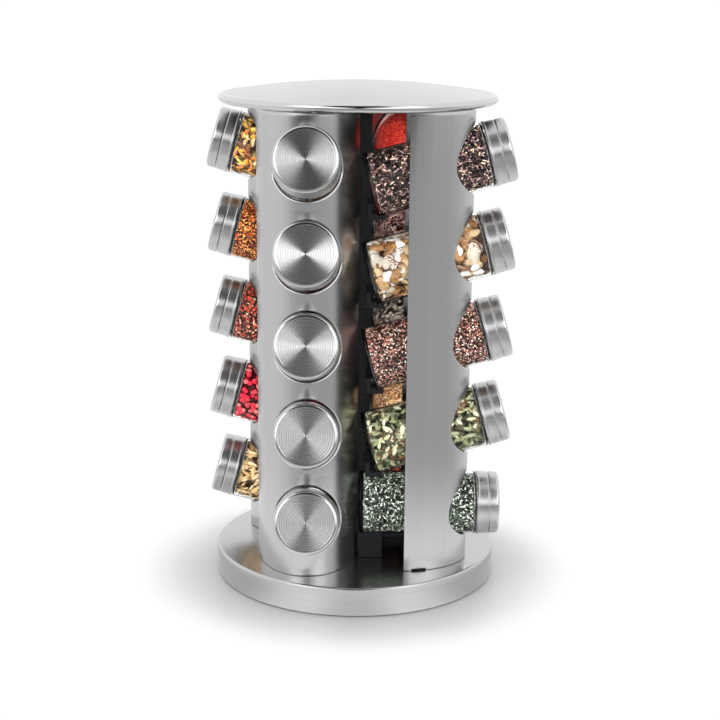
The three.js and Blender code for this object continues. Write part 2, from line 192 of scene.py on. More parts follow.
# ---------- material helpers
class Nodes:
    """A node tree with one Principled shader, and short calls to add to it."""

    def __init__(self, name, color, roughness, metallic=0.0):
        self.material = bpy.data.materials.new(name)
        self.material.use_nodes = True
        self.tree = self.material.node_tree
        self.shader = self.tree.nodes["Principled BSDF"]
        self.set("Base Color", (*color, 1))
        self.set("Roughness", roughness)
        self.set("Metallic", metallic)

    def set(self, socket, value):
        self.shader.inputs[socket].default_value = value

    def add(self, kind, **values):
        node = self.tree.nodes.new(kind)
        for key, value in values.items():
            setattr(node, key, value)
        return node

    def link(self, source, target):
        self.tree.links.new(source, target)

    def feed(self, source, socket):
        """Link a node's output to one of the shader's sockets."""
        self.link(source, self.shader.inputs[socket])

    def coordinates(self, scale=(1, 1, 1)):
        """The object's own coordinates, in metres, times a scale."""
        texture = self.add("ShaderNodeTexCoord")
        mapping = self.add("ShaderNodeMapping")
        mapping.inputs["Scale"].default_value = scale
        self.link(texture.outputs["Object"], mapping.inputs["Vector"])
        return mapping.outputs["Vector"]

    def noise(self, vector, scale, detail, roughness=0.5):
        node = self.add("ShaderNodeTexNoise")
        node.inputs["Scale"].default_value = scale
        node.inputs["Detail"].default_value = detail
        node.inputs["Roughness"].default_value = roughness
        self.link(vector, node.inputs["Vector"])
        return node.outputs["Fac"]

    def ramp(self, factor, stops, steps=False):
        """Colours from (place, colour) stops, blended between them or in steps."""
        node = self.add("ShaderNodeValToRGB")
        if steps:
            node.color_ramp.interpolation = "CONSTANT"
        elements = node.color_ramp.elements
        while len(elements) < len(stops):
            elements.new(0.5)
        for element, (place, color) in zip(elements, stops):
            element.position = place
            element.color = (*color, 1)
        self.link(factor, node.inputs["Fac"])
        return node.outputs["Color"]

    def parts(self, vector):
        """A vector's x, y and z."""
        node = self.add("ShaderNodeSeparateXYZ")
        self.link(vector, node.inputs[0])
        return node.outputs

    def blend(self, factor, low, high):
        """From one colour to another."""
        node = self.add("ShaderNodeMix", data_type="RGBA")
        factor_in, low_in, high_in = node.inputs[0], node.inputs[6], node.inputs[7]
        self.link(factor, factor_in)
        for color, socket in ((low, low_in), (high, high_in)):
            put(self.tree, color if isinstance(color, bpy.types.NodeSocket) else (*color, 1), socket)
        return node.outputs[2]

    def span(self, factor, low, high):
        """A number from 0 to 1, stretched to run from low to high."""
        node = self.add("ShaderNodeMapRange")
        node.inputs["To Min"].default_value = low
        node.inputs["To Max"].default_value = high
        self.link(factor, node.inputs["Value"])
        return node.outputs["Result"]

    def bump(self, height, strength, distance):
        """Fine relief in the shading."""
        node = self.add("ShaderNodeBump")
        node.inputs["Strength"].default_value = strength
        node.inputs["Distance"].default_value = distance
        self.link(height, node.inputs["Height"])
        self.feed(node.outputs["Normal"], "Normal")

    def give_way(self, factor, other):
        """Show another shader instead of this one, as far as the factor says."""
        mix = self.add("ShaderNodeMixShader")
        self.link(factor, mix.inputs["Fac"])
        self.link(self.shader.outputs["BSDF"], mix.inputs[1])
        self.link(other, mix.inputs[2])
        self.link(mix.outputs["Shader"], self.tree.nodes["Material Output"].inputs["Surface"])

    def brush(self, anisotropy, upright=False):
        """Draw highlights out across scratches that run round the Z axis, or along it when upright."""
        self.set("Anisotropic", anisotropy)
        self.set("Anisotropic Rotation", 0.25)
        if upright:
            along = self.add("ShaderNodeCombineXYZ")
            along.inputs["Z"].default_value = 1
            self.feed(along.outputs["Vector"], "Tangent")
        else:
            along = self.add("ShaderNodeTangent", direction_type="RADIAL", axis="Z")
            self.feed(along.outputs["Tangent"], "Tangent")


def put(tree, value, socket):
    """Link a socket, or set it to a number."""
    if isinstance(value, bpy.types.NodeSocket):
        tree.links.new(value, socket)
    else:
        socket.default_value = value


def choose(tree, factor, low, high):
    """From one number to another, as the factor goes from 0 to 1."""
    mix = tree.nodes.new("ShaderNodeMix")
    for value, name in ((factor, "Factor"), (low, "A"), (high, "B")):
        put(tree, value, mix.inputs[name])
    return mix.outputs["Result"]


def calc(tree, operation, *values):
    """One sum on sockets or numbers."""
    node = tree.nodes.new("ShaderNodeMath")
    node.operation = operation
    for value, socket in zip(values, node.inputs):
        put(tree, value, socket)
    return node.outputs[0]


def smooth(tree, value, ends, low=0.0, high=1.0):
    """A soft step from low to high as the value goes from one end to the other."""
    node = tree.nodes.new("ShaderNodeMapRange")
    node.interpolation_type = "SMOOTHSTEP"
    put(tree, value, node.inputs["Value"])
    for number, name in zip((*ends, low, high), ("From Min", "From Max", "To Min", "To Max")):
        node.inputs[name].default_value = number
    return node.outputs["Result"]


def off_axis(tree, x, y):
    """How far a point is from the Z axis."""
    return calc(tree, "SQRT", calc(tree, "MULTIPLY_ADD", x, x, calc(tree, "MULTIPLY", y, y)))


def brushed_steel(name, color, roughness, streaks, anisotropy, upright=False, contrast=0.06, relief=0.02):
    """Steel with fine scratches. streaks scales their noise along each axis, so they're longest on the
    axis with the smallest number. Upright scratches run along Z, and the others round it."""
    steel = Nodes(name, color, roughness, 1.0)
    fine = steel.noise(steel.coordinates(streaks), 1.0, 6, 0.65)
    broad = steel.noise(steel.coordinates(tuple(s * 0.12 for s in streaks)), 1.0, 3)
    steel.feed(steel.span(fine, roughness - contrast, roughness + contrast), "Roughness")
    dark = tuple(c * (1 - contrast) for c in color)
    light = tuple(min(1, c * (1 + contrast)) for c in color)
    steel.feed(steel.ramp(broad, [(0.3, dark), (0.7, light)]), "Base Color")
    steel.bump(fine, relief, 0.0002)
    steel.brush(anisotropy, upright)
    return steel.material


def turned_steel(name, color, roughness):
    """A lid's face, cut on a lathe: fine rings about the axis, drawn as painted shade that darkens the colour
    in the grooves, some darker than others.
    """
    steel = Nodes(name, color, roughness, 1.0)
    tree = steel.tree
    x, y, _ = steel.parts(steel.coordinates())
    from_axis = off_axis(tree, x, y)
    outwards = steel.add("ShaderNodeCombineXYZ")
    steel.link(from_axis, outwards.inputs["X"])
    uneven = steel.noise(outwards.outputs["Vector"], 450, 2)
    wave = calc(tree, "SINE", calc(tree, "MULTIPLY", from_axis, 2 * math.pi / (RING_PITCH * MM)))
    cut = calc(tree, "MULTIPLY", calc(tree, "MULTIPLY_ADD", wave, 0.5, 0.5), uneven)
    steel.feed(steel.span(cut, roughness - 0.02, roughness + 0.02), "Roughness")
    # painted shade: the rings darken the face's colour, standing in for shade in the lathe's grooves
    steel.feed(steel.ramp(cut, [(0.0, color), (0.6, tuple(c * RING_SHADE for c in color))]), "Base Color")
    steel.brush(0.98)
    return steel.material


def clear_glass(name):
    """Soda glass that lets lamps through, so the contents are lit."""
    glass = Nodes(name, (1.0, 1.0, 1.0), 0.0)
    glass.set("Transmission Weight", 1.0)
    glass.set("IOR", 1.22)
    glass.bump(glass.noise(glass.coordinates(), 60, 1), 0.02, 0.001)
    path = glass.add("ShaderNodeLightPath")
    open_way = glass.add("ShaderNodeBsdfTransparent")
    glass.give_way(path.outputs["Is Shadow Ray"], open_way.outputs["BSDF"])
    return glass.material


def plastic(name, color, roughness, grain=900.0, relief=0.08, gloss=0.5):
    """Moulded plastic or rubber with a fine grain."""
    moulded = Nodes(name, color, roughness)
    moulded.set("Specular IOR Level", gloss)
    fine = moulded.noise(moulded.coordinates(), grain, 3)
    moulded.feed(moulded.span(fine, roughness - 0.06, roughness + 0.06), "Roughness")
    moulded.bump(fine, relief, 0.0002)
    return moulded.material


def towards_glass(spice, place, normal):
    """How squarely a grain's surface faces the nearest glass, and how deep it lies behind it."""
    tree = spice.tree
    x, y, z = spice.parts(place)
    normal_x, normal_y, normal_z = spice.parts(normal)
    from_axis = off_axis(tree, x, y)
    from_wall = calc(tree, "SUBTRACT", SPICE_R * MM, from_axis)
    from_bottom = calc(tree, "SUBTRACT", z, SPICE_Z[0] * MM)
    sideways = calc(tree, "MULTIPLY_ADD", normal_x, x, calc(tree, "MULTIPLY", normal_y, y))
    sideways = calc(tree, "DIVIDE", sideways, from_axis)
    downwards = calc(tree, "MULTIPLY", normal_z, -1.0)
    facing = choose(tree, calc(tree, "LESS_THAN", from_bottom, from_wall), sideways, downwards)
    return facing, calc(tree, "MINIMUM", from_wall, from_bottom)


def grains(name, colors, shade, roughness, speckle, spread, depth):
    """Dry spice. Each grain takes one of the colors and is mottled a little. As painted shade, it turns to
    the shade's colour where it curves away from the glass, and where it lies deeper, by up to depth
    millimetres."""
    spice = Nodes(name, colors[0], roughness)
    tree = spice.tree
    where = spice.add("ShaderNodeTexCoord")
    place = where.outputs["Object"]
    geometry = spice.add("ShaderNodeNewGeometry")
    mottle = spice.noise(place, speckle, 3, 0.6)
    shifted = calc(tree, "MULTIPLY_ADD", mottle, spread, geometry.outputs["Random Per Island"])
    shifted = calc(tree, "SUBTRACT", shifted, spread / 2)
    hue = spice.ramp(shifted, [(i / len(colors), color) for i, color in enumerate(colors)], steps=True)
    facing, deep = towards_glass(spice, place, where.outputs["Normal"])
    # painted shade: grains darken towards the shade colour where they turn from the glass and where they lie
    # deeper, in place of real shadow between them
    near = smooth(tree, deep, (0, depth * MM), 1, 0)
    light = calc(tree, "MULTIPLY", smooth(tree, facing, (0.60, 0.80)), near)
    spice.feed(spice.blend(light, shade, hue), "Base Color")
    spice.bump(mottle, 0.4, 0.0004)
    return spice.material


PANEL_STEEL = brushed_steel("panel_steel", (0.60, 0.60, 0.605), 0.245, (2600, 2600, 12), 0.78, upright=True,
                            contrast=0.022, relief=0.006)
COVER_STEEL = brushed_steel("cover_steel", (0.70, 0.70, 0.70), 0.30, (60, 60, 60), 0.5)
RIM_STEEL = brushed_steel("rim_steel", (0.66, 0.66, 0.66), 0.09, (60, 60, 1200), 0.3, contrast=0.03)
BASE_STEEL = brushed_steel("base_steel", (0.57, 0.57, 0.57), 0.24, (60, 60, 2200), 0.4, contrast=0.03,
                           relief=0.006)
EDGE_STEEL = brushed_steel("lid_edge_steel", (0.62, 0.62, 0.62), 0.13, (300, 300, 600), 0.2, contrast=0.02)
SIDE_STEEL = brushed_steel("lid_side_steel", (0.60, 0.60, 0.60), 0.32, (300, 300, 3000), 0.7)
FACE_STEEL = turned_steel("lid_face_steel", (0.71, 0.71, 0.71), 0.20)
GLASS_CLEAR = clear_glass("jar_glass")
BLACK = plastic("black_plastic", (0.008, 0.008, 0.009), 0.28, gloss=0.2)
GREY = plastic("grey_plastic", (0.16, 0.165, 0.17), 0.5)
WHITE_PLASTIC = plastic("white_plastic", (0.82, 0.82, 0.80), 0.42)
RUBBER = plastic("foot_rubber", (0.02, 0.02, 0.02), 0.75, 1500, 0.2)
ZINC = brushed_steel("zinc_steel", (0.52, 0.54, 0.56), 0.38, (900, 900, 60), 0.3)


# ---------- where things are
def row_z(row):
    """The height of a row's axis where it crosses the panel's crest."""
    return TOP_ROW_Z - row * ROW_PITCH


def side_turn(side):
    """The turn about Z that brings a front piece to this side."""
    return Matrix.Rotation(SIDES.index(side) * math.pi / 2, 4, "Z")


def jar_place(side, row):
    """A jar's own frame: its origin in the middle of the bottom, +Z along it to the lid."""
    tilt, z, proud = TILT, row_z(row), JAR_PROUD
    if side == LEVEL_JAR["side"] and row == LEVEL_JAR["row"]:
        tilt, z, proud = 0.0, LEVEL_JAR["z"], LEVEL_JAR["proud"]
    bottom = proud - JAR_LENGTH
    foot = Vector((-PANEL_OFFSET, -(PANEL_CREST + bottom * math.cos(tilt)), z + bottom * math.sin(tilt)))
    return side_turn(side) @ Matrix.Translation(foot * MM) @ Matrix.Rotation(math.pi / 2 - tilt, 4, "X")


# ---------- panels
def plan_depth(angle):
    """How far out the panel is, at this angle round its ellipse."""
    return PANEL_CREST - PANEL_HALF_DEPTH + PANEL_HALF_DEPTH * math.cos(angle)


EDGE_ANGLE = math.acos((PANEL_EDGE - PANEL_CREST + PANEL_HALF_DEPTH) / PANEL_HALF_DEPTH)


def on_panel(angle, z, sunk=0.0):
    """A point of the front panel, sunk inwards from its outer face."""
    normal = Vector((math.sin(angle) / PANEL_HALF_WIDTH, -math.cos(angle) / PANEL_HALF_DEPTH, 0)).normalized()
    surface = Vector((-PANEL_OFFSET + PANEL_HALF_WIDTH * math.sin(angle), -plan_depth(angle), z))
    return surface - normal * sunk


def hole_edge(row, r, turn):
    """Where a cylinder of radius r on the hole's tilted axis meets the panel: (angle, z)."""
    across, up = r * math.cos(turn), r * math.sin(turn)
    angle = math.asin(across / PANEL_HALF_WIDTH)
    along = (plan_depth(angle) - PANEL_CREST + up * math.sin(TILT)) / math.cos(TILT)
    return angle, row_z(row) + along * math.sin(TILT) + up * math.cos(TILT)


def panel_sheet():
    """The outer face of the front panel as a grid of points: a cell of rings round each hole, a strip
    above and a strip below."""
    wide, tall, rings = 28, 20, 10  # a cell's steps across, up, and out from the hole
    points, faces = [], []

    def add_grid(grid, wrap=False):
        first = len(points)
        width = len(grid[0])
        for line in grid:
            points.extend(line)
        for i in range(len(grid) - 1):
            for j in range(width if wrap else width - 1):
                k = (j + 1) % width
                corner = first + i * width
                faces.append((corner + j, corner + k, corner + width + k, corner + width + j))

    # directions round the hole, and where each ends on the cell's edge, from -1 to 1
    eighth = math.pi / 4
    turns, frame_places = [], []
    for start, steps, corner_a, corner_b in (
        (-eighth, tall, (1, -1), (1, 1)),
        (eighth, wide, (1, 1), (-1, 1)),
        (3 * eighth, tall, (-1, 1), (-1, -1)),
        (5 * eighth, wide, (-1, -1), (1, -1)),
    ):
        for i in range(steps):
            t = i / steps
            turns.append(start + t * 2 * eighth)
            frame_places.append(tuple(a + (b - a) * t for a, b in zip(corner_a, corner_b)))

    for row in range(ROWS):
        grid = []
        lip = [(HOLE_R - LIP_R, LIP_R + (LIP_DEPTH - LIP_R) * t) for t in (1, 0.5)]
        lip += [(HOLE_R - LIP_R * math.sin(a), LIP_R * (1 - math.cos(a))) for a in np.radians(LIP_ARC)]
        for r, sunk in lip:
            grid.append([on_panel(*hole_edge(row, r, turn), sunk) for turn in turns])
        for i in range(rings + 1):
            t = (i / rings) ** 1.3
            line = []
            for turn, (across, up) in zip(turns, frame_places):
                angle, z = hole_edge(row, HOLE_R, turn)
                line.append(on_panel(
                    angle + (across * EDGE_ANGLE - angle) * t,
                    z + (row_z(row) + up * ROW_PITCH / 2 - z) * t,
                ))
            grid.append(line)
        add_grid(grid, True)

    columns = [-EDGE_ANGLE + 2 * EDGE_ANGLE * i / wide for i in range(wide + 1)]
    top_cell = row_z(0) + ROW_PITCH / 2
    bottom_cell = row_z(ROWS - 1) - ROW_PITCH / 2
    foot_z = BASE_TOP_Z + 0.3
    notch_z = foot_z + NOTCH_HEIGHT
    add_grid([[on_panel(a, z) for a in columns] for z in (top_cell, TOWER_TOP_Z)])
    add_grid([[on_panel(a, z) for a in columns] for z in np.linspace(notch_z, bottom_cell, 4)])
    notch = (1, 3)  # columns left out of the lowest strip
    add_grid([[on_panel(a, z) for a in columns[:notch[0] + 1]] for z in (foot_z, notch_z)])
    add_grid([[on_panel(a, z) for a in columns[notch[1]:]] for z in (foot_z, notch_z)])
    return points, faces


def make_panels():
    """The front panel's sheet with its thickness and eased edges, and three copies."""
    points, faces = panel_sheet()
    panel = build("panel_sheet_front", points, faces, [PANEL_STEEL], 60)
    work = bmesh.new()
    work.from_mesh(panel.data)
    bmesh.ops.remove_doubles(work, verts=work.verts, dist=1e-6)
    bmesh.ops.recalc_face_normals(work, faces=work.faces)
    crest = min(work.faces, key=lambda f: f.calc_center_median().y)
    if crest.normal.y > 0:
        bmesh.ops.reverse_faces(work, faces=work.faces)
    work.to_mesh(panel.data)
    work.free()
    thick = panel.modifiers.new("thick", "SOLIDIFY")
    thick.thickness = PANEL_SHEET * MM
    thick.offset = -1
    soft = panel.modifiers.new("soft", "BEVEL")
    soft.width = 0.25 * MM
    soft.segments = 2
    soft.limit_method = "ANGLE"
    soft.angle_limit = math.radians(50)
    applied(panel)
    panel.data.shade_smooth()
    for side in SIDES:
        made = panel if side == "front" else new_object(f"panel_sheet_{side}", panel.data)
        made.matrix_world = side_turn(side)
        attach(made, "tower")
        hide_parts(f"{side}_panel")


make_panels()


# ---------- jars and lids
def glass_body():
    """A jar's glass: a slightly hollow bottom, a round shoulder, and a neck with two thread beads."""
    inner = JAR_R - GLASS
    neck_inner = NECK_R - 1.8
    beads = []
    for z in BEADS_Z:
        beads += [(NECK_R, z - BEAD, 0.3), (NECK_R + 0.5, z, 0.4), (NECK_R, z + BEAD, 0.3)]
    profile = rounded([
        (0, 0.4),
        (JAR_R - 5, 0.4, 1.5),
        (JAR_R - 4, 0, 0.8),
        (JAR_R, 0, 2.2),
        (JAR_R, SHOULDER_Z, 1.2),
        (NECK_R, SHOULDER_Z + 0.2, 0.6),
        *beads,
        (NECK_R, MOUTH_Z, 0.7),
        (neck_inner, MOUTH_Z, 0.7),
        (neck_inner, SHOULDER_Z - 0.6, 0.8),
        (inner, SHOULDER_Z - 1.0, 0.8),
        (inner, FLOOR_Z, 1.6),
        (0, FLOOR_Z),
    ])
    return turned("jar_glass_front_1", profile, [GLASS_CLEAR], ROUND, 40)


def sifter():
    """The shaker insert in the jar's mouth: a cup with a ring of round holes and one in the middle."""
    lip_r, cup_r = NECK_R - 0.4, NECK_R - 2.1
    profile = rounded([
        (0, 93.2),
        (cup_r - 0.8, 93.2, 0.5),
        (cup_r - 0.8, MOUTH_Z + 0.3, 0.2),
        (lip_r, MOUTH_Z + 0.3, 0.2),
        (lip_r, MOUTH_Z + 0.02),
        (cup_r, MOUTH_Z + 0.02),
        (cup_r, 92.2, 0.8),
        (0, 92.2),
    ], 3)
    made = turned("sifter_front_1", profile, [WHITE_PLASTIC], SMALL_ROUND, 35)
    cutters = []
    for i in range(SIFTER_HOLES + 1):
        a = 2 * math.pi * i / SIFTER_HOLES
        r = SIFTER_HOLES_R if i < SIFTER_HOLES else 0.0
        cutter = turned("cutter", [(0, 90), (2.0, 90), (2.0, 96), (0, 96)], [WHITE_PLASTIC], 16)
        cutter.location = Vector((r * math.cos(a), r * math.sin(a), 0)) * MM
        cutters.append(cutter)
    for cutter in cutters:
        hole = made.modifiers.new("hole", "BOOLEAN")
        hole.operation = "DIFFERENCE"
        hole.solver = "EXACT"
        hole.object = cutter
    applied(made)
    for cutter in cutters:
        bpy.data.objects.remove(cutter)
    made.data.shade_smooth()
    made.data.set_sharp_from_angle(angle=math.radians(35))
    return made


def lid_shell():
    """A steel cup with a turned face, a groove half way down its side and a rolled bead at its edge."""
    base = JAR_LENGTH - LID_HEIGHT
    face_z = JAR_LENGTH
    sheet = 0.5

    def side(z):
        return LID_R + (face_z - z) * LID_TAPER

    profile = rounded([
        (0, face_z - 0.05),
        (LID_R - 2.9, face_z - 0.05, 0.2),
        (LID_R - 2.7, face_z, 0.2),
        (side(face_z), face_z, 2.2),
        (side(93.4), 93.4, 0.3),
        (side(93) - 0.45, 92.8, 0.25),
        (side(92.4) - 0.45, 92.4, 0.25),
        (side(91.8), 91.8, 0.3),
        (side(86), 86.0, 0.3),
        (LID_OPEN_R, 85.3, 0.35),
        (LID_OPEN_R, base, 0.5),
        (LID_OPEN_R - 1.6, base, 0.4),
        (LID_OPEN_R - 1.6, 86.0, 0.3),
        (LID_R - sheet, face_z - sheet - 0.3, 1.8),
        (0, face_z - sheet - 0.3),
    ], 4)
    made = turned("lid_shell_front_1", profile, [SIDE_STEEL, FACE_STEEL, EDGE_STEEL], ROUND, 40)
    for polygon in made.data.polygons:
        x, y, z = polygon.center / MM
        if z > face_z - 0.08 and math.hypot(x, y) < LID_EDGE_R:
            polygon.material_index = 1
        elif z > face_z - 2.2 and math.hypot(x, y) > LID_EDGE_R:
            polygon.material_index = 2
        else:
            polygon.material_index = 0
    return made


def lid_liner():
    """The plastic thread ring and seal inside the lid."""
    profile = rounded([
        (0, 98.4),
        (20.9, 98.4, 1.6),
        (20.9, 84.6, 0.2),
        (19.75, 84.6, 0.3),
        (19.75, 90.6, 0.2),
        (19.45, 91.2, 0.2),
        (19.75, 91.8, 0.2),
        (19.75, 97.9, 0.3),
        (0, 97.9),
    ], 3)
    return turned("lid_liner_front_1", profile, [WHITE_PLASTIC], SMALL_ROUND, 35)


# ---------- spices
def ball(steps):
    """Unit sphere points and faces, from an icosphere."""
    work = bmesh.new()
    bmesh.ops.create_icosphere(work, subdivisions=steps, radius=1)
    points = np.array([v.co for v in work.verts])
    faces = [[v.index for v in f.verts] for f in work.faces]
    work.free()
    return points, faces


def diamond():
    """A small grain with eight faces."""
    points = np.array([(1, 0, 0), (-1, 0, 0), (0, 1, 0), (0, -1, 0), (0, 0, 1), (0, 0, -1)], float)
    faces = [(0, 2, 4), (2, 1, 4), (1, 3, 4), (3, 0, 4), (2, 0, 5), (1, 2, 5), (3, 1, 5), (0, 3, 5)]
    return points, faces


def seed():
    """A plump seed, pointed at both ends."""
    points, faces = ball(1)
    points[:, 1:] *= (1 - 0.35 * np.abs(points[:, :1]) ** 2)
    return points, faces


def pod():
    """A ribbed pod."""
    points, faces = ball(2)
    around = np.arctan2(points[:, 2], points[:, 1])
    points[:, 1:] *= (1 - 0.3 * np.abs(points[:, :1]) ** 2) * (1 + 0.12 * np.cos(3 * around))[:, None]
    return points, faces


def lump(rng):
    """An irregular chunk."""
    points, faces = ball(2)
    for _ in range(6):
        way = rng.normal(size=3)
        way /= np.linalg.norm(way)
        cut = rng.uniform(0.45, 0.9)
        over = points @ way - cut
        points = points - np.outer(np.clip(over, 0, None) * 0.9, way)
    points = points * (1 + rng.normal(size=(len(points), 1)) * 0.0504)
    return points, faces


def flake(rng):
    """A curled petal or scrap of leaf, with a little thickness."""
    points, faces = ball(2)
    points[:, 2] = points[:, 2] * 0.5 + 0.35 * points[:, 0] ** 2 - 0.14 * points[:, 1] ** 2
    points[:, 1] *= 1 + 0.25 * np.sin(points[:, 0] * 5 + rng.uniform(0, 6))
    return points, faces


def dot():
    """A small round grain, among longer ones."""
    points, faces = ball(1)
    return points * np.array([0.35, 1, 1]), faces


def peppercorn():
    """A round, wrinkled berry."""
    points, faces = ball(2)
    ways = points * 6 + np.array([0, 1, 2])
    return points * (1 + 0.06 * np.sin(ways).prod(axis=1, keepdims=True)), faces


def clove():
    """A stem with a round head."""
    stem, faces = ball(1)
    stem = stem * np.array([0.75, 0.42, 0.42]) + np.array([-0.25, 0, 0])
    head, more = ball(1)
    head = head * np.array([0.34, 0.85, 0.85]) + np.array([0.62, 0, 0])
    return np.vstack([stem, head]), list(faces) + [[i + len(stem) for i in f] for f in more]


def star():
    """Eight boat-shaped arms round a centre."""
    points, faces = [], []
    arm, arm_faces = ball(1)
    for i in range(8):
        a = 2 * math.pi * i / 8
        one = arm * np.array([0.42, 0.15, 0.22]) + np.array([0.56, 0, 0])
        one[:, 2] -= 0.35 * np.clip(one[:, 2], 0, None) * np.cos(one[:, 1] * 9)
        turn = np.array([[math.cos(a), -math.sin(a), 0], [math.sin(a), math.cos(a), 0], [0, 0, 1]])
        faces += [[k + len(points) for k in f] for f in arm_faces]
        points += (one @ turn.T).tolist()
    return np.array(points), faces


def scatter(rng, shapes, count, size, bury, tumble):
    """Points and faces of many grains lying against the inside of a jar. size is the half length,
    width and thickness. bury is how deep the deepest grains lie. tumble is how far they tip up."""
    z0, z1 = SPICE_Z
    wall = 2 * math.pi * SPICE_R * (z1 - z0)
    bottom = math.pi * SPICE_R ** 2
    all_points, all_faces, made = [], [], 0
    for i in range(count):
        shape, faces = shapes[i % len(shapes)]
        grain = shape * np.array(size) * rng.uniform(0.75, 1.2)
        spin, tip, roll = rng.uniform(0, 2 * math.pi), rng.normal() * tumble, rng.normal() * tumble * 2
        for angle, axis in ((roll, "X"), (tip, "Y"), (spin, "Z")):
            grain = grain @ np.array(Matrix.Rotation(angle, 3, axis)).T
        depth = rng.uniform(0, 1) ** 1.5 * bury
        around = rng.uniform(0, 2 * math.pi)
        across, along, out = grain.T
        out = out - out.max() - depth
        if rng.uniform(0, wall + bottom) < wall:  # against the round wall
            turn = around + across / SPICE_R
            z = rng.uniform(z0, z1) + along
            z += max(0, z0 - z.min()) - max(0, z.max() - z1)
            placed = np.array([(SPICE_R + out) * np.cos(turn), (SPICE_R + out) * np.sin(turn), z]).T
        else:  # on the bottom
            r = SPICE_R * math.sqrt(rng.uniform(0, 1))
            placed = np.array([r * math.cos(around) + across, r * math.sin(around) + along, z0 - out]).T
            over = max(0, np.hypot(placed[:, 0], placed[:, 1]).max() - SPICE_R)
            placed[:, 0] -= over * math.cos(around)
            placed[:, 1] -= over * math.sin(around)
        all_points.append(placed)
        all_faces += [tuple(k + made for k in f) for f in faces]
        made += len(placed)
    return np.vstack(all_points), all_faces


def spice(name, colors, shapes, count, size, bury, under, seed_value, tumble=0.25, roughness=0.5,
          speckle=1500.0, spread=0.25):
    """The contents of a jar: a dark core painted in the shade colour, standing in for the shaded spice deeper
    in, and a layer of grains against the glass.
    """
    rng = np.random.default_rng(seed_value)
    made_shapes = [shape(rng) if shape in (lump, flake) else shape() for shape in shapes]
    points, faces = scatter(rng, made_shapes, count, size, bury, tumble)
    z0, z1 = SPICE_Z
    sunk = bury + size[2] * 0.8
    core = turned(name + "_core", rounded([
        (0, z0 + sunk),
        (SPICE_R - sunk, z0 + sunk, 1.5),
        (SPICE_R - sunk, z1 - 0.3, 1.5),
        (0, z1 - 0.3),
    ], 3), [], 48)
    core_points = np.array([v.co for v in core.data.vertices]) / MM
    core_faces = [tuple(p.vertices) for p in core.data.polygons]
    bpy.data.objects.remove(core)
    all_faces = core_faces + [tuple(k + len(core_points) for k in f) for f in faces]
    which = [0] * len(core_faces) + [1] * len(faces)
    # painted shade: the core and the grains' shaded edges take the under colour, a dark copy of the spice's
    # own
    materials = [
        grains(name + "_core", [under, tuple(c * 0.6 for c in under)], under, 0.8, 700, 0.6, sunk),
        grains(name, colors, under, roughness, speckle, spread, sunk),
    ]
    return build(name, np.vstack([core_points, points]), all_faces, materials, 180, which)


def powder(name, colors):
    """A fine ground spice: one body with a grained surface."""
    z0, z1 = SPICE_Z
    made = turned(name, rounded([(0, z0), (SPICE_R, z0, 1.2), (SPICE_R, z1, 1.2), (0, z1)], 4), [], 96)
    ground = Nodes(name, colors[0], 0.8)
    place = ground.coordinates()
    mixed = calc(ground.tree, "MULTIPLY_ADD", ground.noise(place, 300, 4, 0.6), 0.4,
                 ground.noise(place, 620, 4, 0.7))
    stops = [(0.64 + 0.13 * i / (len(colors) - 1), color) for i, color in enumerate(colors)]
    ground.feed(ground.ramp(mixed, stops), "Base Color")
    ground.bump(mixed, 0.8, 0.0008)
    made.data.materials.append(ground.material)
    return made


